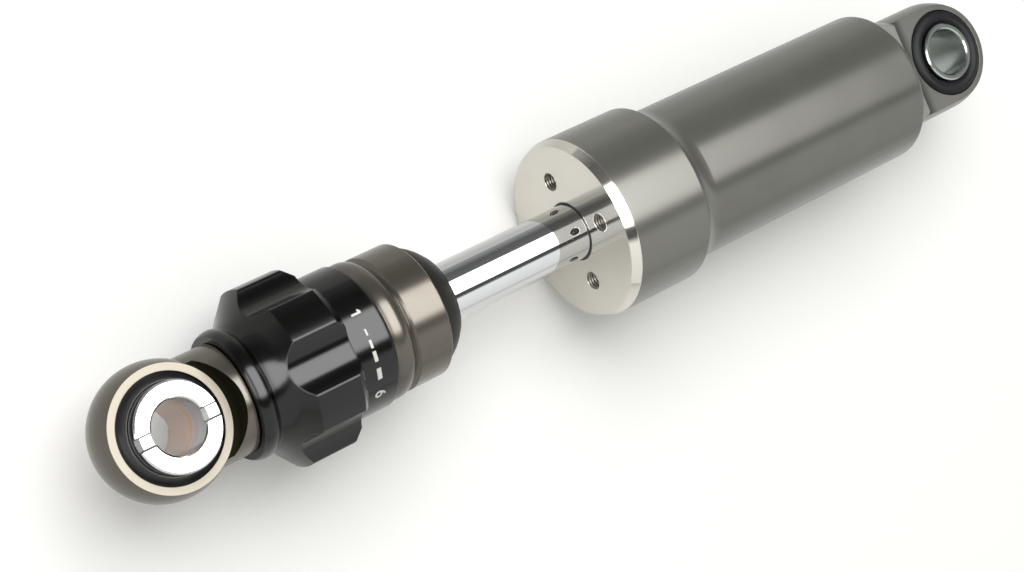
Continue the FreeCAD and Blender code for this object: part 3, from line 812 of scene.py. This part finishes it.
def add_strip(shape, left, right, angle):
    """Painted strip between two edges of points (across, along), a paint layer thick."""
    rows = []
    for a, b in zip(left, right):
        corners = ((a, paint_rise), (b, paint_rise), (b, -paint_rise), (a, -paint_rise))
        rows.append([shape.verts.new(on_skirt(point[0], point[1], angle, rise)) for point, rise in corners])
    join_rows(shape, rows)


def add_bar(shape, angle, length, width):
    """Bar that runs round the skirt."""
    stations = [length * (i / mark_steps - 0.5) for i in range(mark_steps + 1)]
    add_strip(shape, [(s, width / 2) for s in stations], [(s, -width / 2) for s in stations], angle)


def add_stroke(shape, path, angle):
    """Stroke of a digit along a path of points (across, along)."""
    left = []
    right = []
    for i, point in enumerate(path):
        before = Vector(path[max(i - 1, 0)])
        after = Vector(path[min(i + 1, len(path) - 1)])
        ahead = (after - before).normalized()
        side = Vector((-ahead.y, ahead.x)) * digit_stroke / 2
        left.append(tuple(Vector(point) + side))
        right.append(tuple(Vector(point) - side))
    add_strip(shape, left, right, angle)


def curve_points(centre, radii, first, last, steps):
    """Points on part of an ellipse, by angles in degrees."""
    points = []
    for i in range(steps + 1):
        turn = math.radians(first + (last - first) * i / steps)
        points.append((centre[0] + radii[0] * math.cos(turn), centre[1] + radii[1] * math.sin(turn)))
    return points


def add_one(shape, half, angle):
    """Digit 1, half its height above and below the middle: a stem and a flag."""
    stem = [(stem_across, half - 2 * half * i / stem_steps) for i in range(stem_steps + 1)]
    add_stroke(shape, stem, angle)
    flag = [(across, half - drop) for across, drop in flag_points]
    add_stroke(shape, flag, angle)


def add_six(shape, half, angle):
    """Digit 6, half its height above and below the middle: a closed loop and a tail."""
    loop_along = loop_r - half
    loop = curve_points((0.0, loop_along), (loop_r, loop_r), *loop_angles, loop_steps)
    add_stroke(shape, loop, angle)
    tail_radii = (2 * loop_r, half - loop_along)
    tail = curve_points((loop_r, loop_along), tail_radii, *tail_angles, tail_steps)
    add_stroke(shape, tail, angle)


def make_scale():
    """Scale on the knob's skirt: a plain digit at each end and four bars that grow."""
    shape = bmesh.new()
    for angle, length, width in zip(mark_angles, mark_lengths, mark_widths):
        add_bar(shape, angle, length, width)
    half = (digit_height - digit_stroke) / 2
    add_one(shape, half, digit_angles[0])
    add_six(shape, half, digit_angles[1])
    add_mesh("skirt_scale", shape, make_paint_finish(), "knob")


def make_hole_threads():
    """Thread inside each pin hole, as a ridge that winds down the wall."""
    shape = bmesh.new()
    turns = (hole_depth - thread_pitch) / thread_pitch
    root_r = hole_r + thread_root
    section = ((-thread_half_share, root_r), (0.0, hole_r - thread_depth), (thread_half_share, root_r))
    for hole in range(hole_count):
        tilt = math.tau * hole / hole_count
        centre = Vector((0.0, hole_circle_r * math.sin(tilt), hole_circle_r * math.cos(tilt)))
        rows = []
        for i in range(int(thread_steps * turns) + 1):
            turn = math.tau * i / thread_steps
            x = hole_mouth_x - thread_pitch * (thread_start_share + i / thread_steps)
            side = Vector((0.0, math.sin(turn), math.cos(turn)))
            rows.append([
                shape.verts.new((centre + side * r + Vector((x + shift * thread_pitch, 0.0, 0.0))) * MM)
                for shift, r in section
            ])
        join_rows(shape, rows)
    add_mesh("pin_hole_threads", shape, make_thread_finish(), "body")


def make_floor():
    """Plain pale floor that keeps the shadow."""
    mesh = bpy.data.meshes.new("floor")
    half = floor_size / 2
    corners = [(-half, -half, floor_z), (half, -half, floor_z), (half, half, floor_z), (-half, half, floor_z)]
    mesh.from_pydata(corners, [], [(0, 1, 2, 3)])
    item = add_object("floor", mesh)
    material, graph = new_material("floor_pale")
    paths = graph.node("LightPath")
    in_mirrors = paths.outputs["Is Glossy Ray"]
    tone = graph.mix(graph.noise(graph.place(), floor_speckle_scale, floor_speckle_detail), *floor_tones)
    x, y, z = graph.parts(graph.place())
    # Painted shade on the floor's -Y side, seen only in mirrors
    flag = graph.remap(y, *floor_mirror_shade_y, floor_mirror_shade_share, 0.0)
    matt = graph.node("BsdfDiffuse")
    graph.put(matt.inputs["Color"], graph.mix(graph.times(in_mirrors, flag), tone, black))
    lift = graph.node("Emission")
    seen_lift = graph.times(graph.seen(paths), floor_lift)
    graph.put(lift.inputs["Strength"], graph.plus(seen_lift, graph.times(in_mirrors, floor_mirrored_lift)))
    both = graph.node("AddShader")
    graph.put(both.inputs[0], matt.outputs[0])
    graph.put(both.inputs[1], lift.outputs[0])
    graph.surface(both)
    mesh.materials.append(material)


def mirrored_studio(graph):
    """Background that polished metal mirrors."""
    x, y, z = graph.parts(graph.node("TexCoord").outputs["Generated"])
    turn = graph.math("ARCTAN2", y, z)
    ramp = graph.node("ValToRGB")
    graph.put(ramp.inputs[0], graph.remap(turn, -math.pi, math.pi, 0.0, 1.0))
    stops = ramp.color_ramp.elements
    for angle, level in studio[1:-1]:
        stops.new((angle + 180) / 360).color = grey(level / softbox_level)
    stops[0].color = grey(studio[0][1] / softbox_level)
    stops[-1].color = grey(studio[-1][1] / softbox_level)
    first, last = [math.radians(angle) for angle in softbox_angles]
    in_box = graph.within(turn, first, last, softbox_blur)
    end = graph.remap(x, *far_end, 1.0 - far_end_share, 0.0)
    gap = graph.times(graph.within(x, *near_gap, near_gap_blur), 1.0 - near_gap_share)
    lost = graph.times(in_box, graph.math("MAXIMUM", end, gap))
    mirrored = graph.node("Background")
    graph.put(mirrored.inputs["Color"], ramp.outputs[0])
    graph.put(mirrored.inputs["Strength"], graph.times(graph.rest(lost), softbox_level))
    return mirrored


def plain_background(graph, tone, level):
    """Background of one colour."""
    made = graph.node("Background")
    made.inputs["Color"].default_value = opaque(tone)
    made.inputs["Strength"].default_value = level
    return made


def choose(graph, share, first, second):
    """Shader between two, by a share from 0 to 1."""
    made = graph.node("MixShader")
    graph.put(made.inputs[0], share)
    graph.put(made.inputs[1], first.outputs[0])
    graph.put(made.inputs[2], second.outputs[0])
    return made


def make_world():
    """White round the part, an even sky for matt surfaces, and the studio for polished ones."""
    world = bpy.data.worlds.new("studio")
    world.use_nodes = True
    bpy.context.scene.world = world
    graph = Graph(world.node_tree)
    paths = graph.node("LightPath")
    sky = plain_background(graph, sky_tone, sky_level)
    light = choose(graph, paths.outputs["Is Glossy Ray"], sky, mirrored_studio(graph))
    whole = choose(graph, graph.seen(paths), light, plain_background(graph, white, white_level))
    out = graph.node("OutputWorld")
    graph.put(out.inputs["Surface"], whole.outputs[0])
    world.cycles.sampling_method = "NONE"


def make_key():
    """Large soft lamp above and a little to the side, which casts the shadow."""
    lamp = bpy.data.lights.new("key", "AREA")
    lamp.shape = "RECTANGLE"
    lamp.size = key_length
    lamp.size_y = key_width
    lamp.energy = key_level * math.pi ** 2 * key_distance ** 2
    item = add_object("key", lamp)
    lean_x = math.radians(key_lean_x)
    lean_y = math.radians(key_lean_y)
    across = math.cos(lean_x)
    towards = Vector((math.sin(lean_x), -math.sin(lean_y) * across, math.cos(lean_y) * across))
    item.location = Vector(key_target) + towards * key_distance
    item.rotation_euler = towards.to_track_quat("Z", "Y").to_euler()
    item.visible_glossy = False
    item.visible_camera = False


def make_camera():
    """The photograph's camera."""
    lens = bpy.data.cameras.new("camera")
    lens.lens = camera_lens
    lens.sensor_width = sensor_width
    lens.clip_start = clip_near
    lens.clip_end = clip_far
    item = add_object("camera", lens)
    right = Vector(camera_right).normalized()
    back = -Vector(camera_forward).normalized()
    up = back.cross(right).normalized()
    right = up.cross(back).normalized()
    turn = Matrix((right, up, back)).transposed().to_4x4()
    item.matrix_world = Matrix.Translation(camera_place) @ turn
    bpy.context.scene.camera = item


finishes = dress_nodes()
make_upper_rubber(finishes["rubber"])
make_lower_rubber(make_rubber_finish("rubber_polished", gloss=0.7))
make_scale()
make_hole_threads()
make_floor()
make_world()
make_key()
make_camera()
bpy.context.scene.view_settings.view_transform = "Standard"
